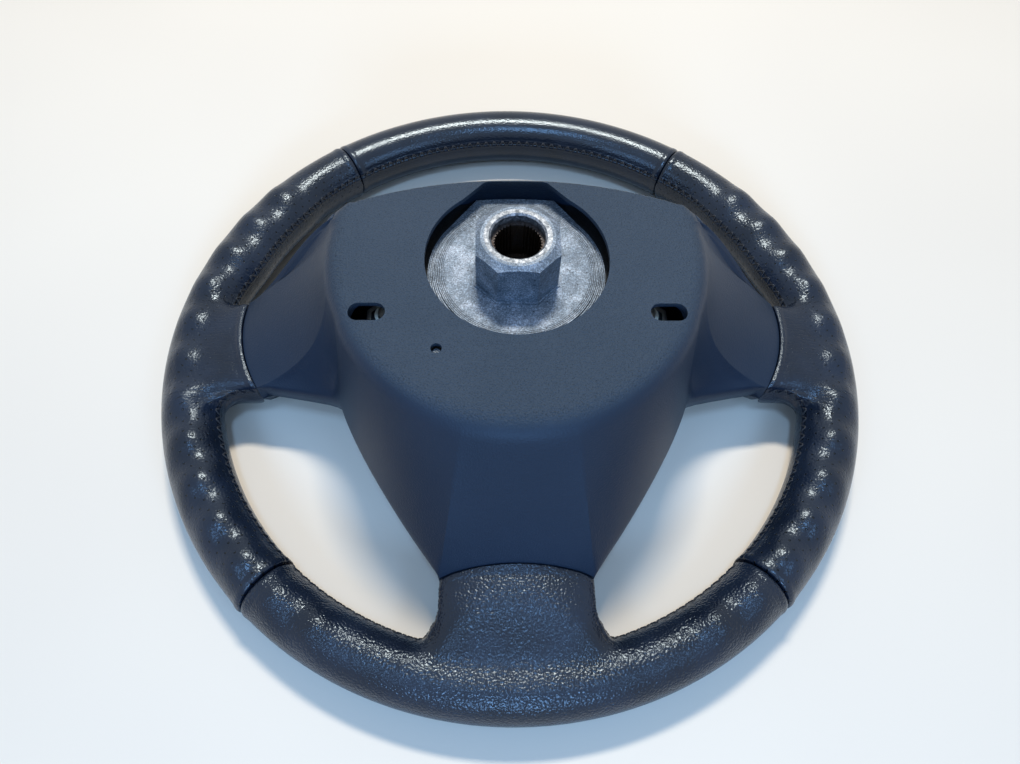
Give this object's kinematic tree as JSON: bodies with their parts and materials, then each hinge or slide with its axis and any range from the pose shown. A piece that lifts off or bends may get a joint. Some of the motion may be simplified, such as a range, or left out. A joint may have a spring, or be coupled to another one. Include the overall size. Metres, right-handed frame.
{
  "type": "car steering wheel",
  "caption": "Three-spoke car steering wheel with a leather rim, finger bumps, a moulded rear cover, a splined hub boss and a sprung horn pad.",
  "frame": {"origin": "on the steering axis, in the hub's end face that meets the column", "axes": "+Z along the steering axis towards the column, +Y towards twelve o'clock, +X to the right seen from the column side"},
  "size_m": [0.37, 0.37, 0.119],
  "materials": {
    "cast_metal": "as cast, satin",
    "machined_steel": "machined, lightly greased",
    "foam": "moulded foam",
    "black_leather": "semi-matt, grained",
    "grained_plastic": "fine grain, matt",
    "zinc_steel": "zinc plated",
    "white_nylon": "moulded",
    "spring_steel": "drawn wire",
    "contact_brass": "plain",
    "soft_plastic": "fine grain, matt",
    "sheet_steel": "pressed",
    "woven_nylon": "folded cloth"
  },
  "bodies": {
    "wheel": {"armature": "cast_metal", "rim_ring": "sheet_steel", "steel_hub_insert": "machined_steel", "rim_foam": "foam", "leather_top": "black_leather", "leather_left_grip": "black_leather", "leather_right_grip": "black_leather", "leather_bottom": "black_leather", "rear_cover": "grained_plastic", "cover_screws": "zinc_steel", "front_bezel": "grained_plastic", "pin_bushes": "white_nylon", "retaining_wire_left": "spring_steel", "retaining_wire_right": "spring_steel", "contact_plates": "contact_brass", "horn_springs": "spring_steel"},
    "horn_pad": {"airbag_cover": "soft_plastic", "airbag_tray": "sheet_steel", "cover_rivets": "zinc_steel", "inflator": "sheet_steel", "inflator_nuts": "zinc_steel", "cushion_ring": "sheet_steel", "airbag_cushion": "woven_nylon", "latch_pins": "zinc_steel", "contact_studs": "contact_brass"}
  },
  "joints": [
    {"name": "horn_press", "type": "slide", "parent": "wheel", "child": "horn_pad", "axis": [0, 0, 1], "range_m": [0, 0.0025], "stiffness_N_per_m": 6000, "springref_m": -0.003, "deforming": ["horn_springs"]}
  ]
}
